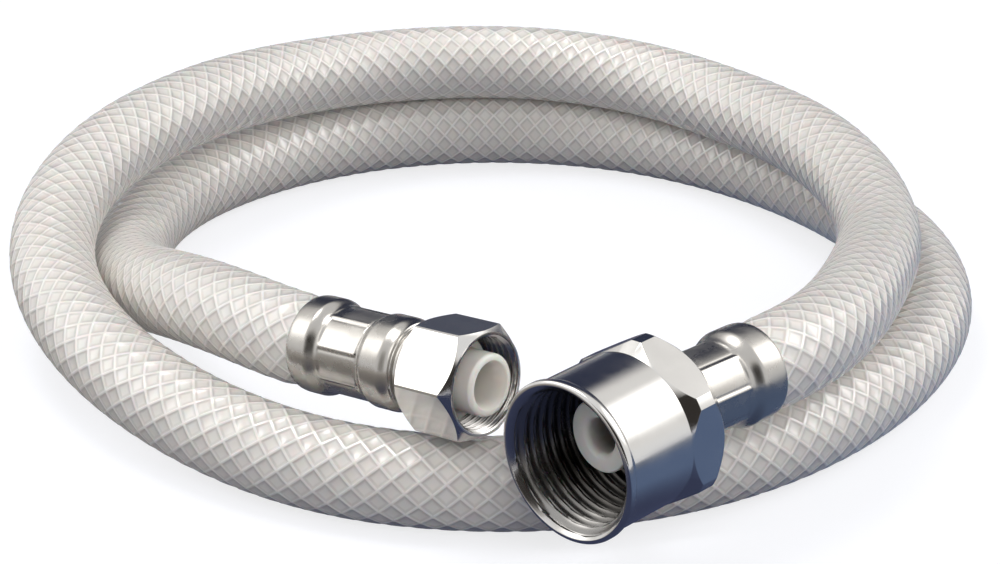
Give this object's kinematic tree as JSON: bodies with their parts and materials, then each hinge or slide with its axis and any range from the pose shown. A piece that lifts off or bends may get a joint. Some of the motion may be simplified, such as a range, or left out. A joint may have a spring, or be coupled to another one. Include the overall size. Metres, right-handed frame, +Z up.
{
  "type": "braided pvc water supply hose",
  "caption": "Flexible braided PVC fill hose lying in a loose coil, with a small hexagon swivel nut at one end and a larger round-skirted swivel nut at the other.",
  "frame": {"origin": "middle of the footprint, on the surface that the coil lies on", "axes": "+Z up through the coil; -Y is the front, where both nuts lie; +X to the right seen from the front"},
  "size_m": [0.1564, 0.1963, 0.034],
  "materials": {
    "clear_pvc": "glossy clear skin over a pale woven braid",
    "white_plastic": "smooth milky white moulding",
    "pressed_steel": "bright pressed shell with crimping marks",
    "plated_nut": "polished nickel plating"
  },
  "bodies": {
    "line": {"hose": "clear_pvc", "small_insert": "white_plastic", "large_insert": "white_plastic", "small_ferrule": "pressed_steel", "large_ferrule": "pressed_steel"},
    "small_swivel": {"small_nut": "plated_nut"},
    "large_swivel": {"large_nut": "plated_nut"}
  },
  "joints": [
    {"name": "small_nut_spin", "type": "hinge", "parent": "line", "child": "small_swivel", "pos_m": [-0.00101, -0.07021, 0.0231], "axis": [-0.7643, 0.64, -0.0793], "continuous": true},
    {"name": "large_nut_spin", "type": "hinge", "parent": "line", "child": "large_swivel", "pos_m": [0.02161, -0.07801, 0.02165], "axis": [0.6909, 0.7205, 0.0593], "continuous": true}
  ]
}
